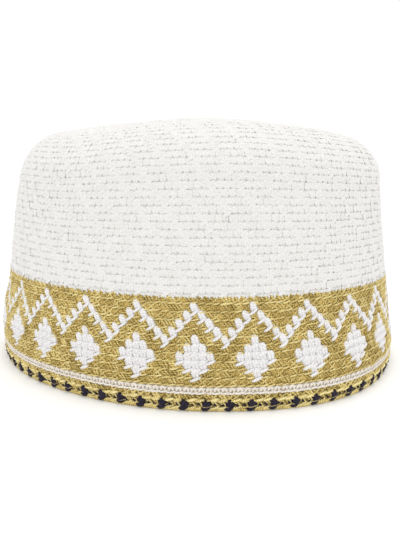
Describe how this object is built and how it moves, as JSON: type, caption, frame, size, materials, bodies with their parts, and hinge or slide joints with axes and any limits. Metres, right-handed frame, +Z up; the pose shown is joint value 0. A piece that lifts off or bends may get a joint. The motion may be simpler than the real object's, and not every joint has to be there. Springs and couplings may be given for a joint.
{
  "type": "crocheted prayer cap",
  "caption": "Round, brimless crocheted prayer cap: white domed crown and side over a gold band with white zigzag and diamonds, and a gold edging with dark hearts.",
  "frame": {"origin": "on the surface the cap rests on, under the middle of the box around it", "axes": "+Z up, +X along the longer side of the oval, -Y towards the side that the picture shows"},
  "size_m": [0.1972, 0.1732, 0.1118],
  "materials": {
    "white_cotton": "matte crocheted cotton",
    "gold_lurex": "metallic gold yarn, crocheted",
    "gold_edging": "metallic gold yarn, crocheted, with dark hearts",
    "dark_thread": "matte dark purple cotton"
  },
  "bodies": {
    "root": {"crown": "white_cotton", "side_wall": "white_cotton", "patterned_band": "gold_lurex", "white_round": "white_cotton", "edging": "gold_edging"}
  },
  "joints": []
}
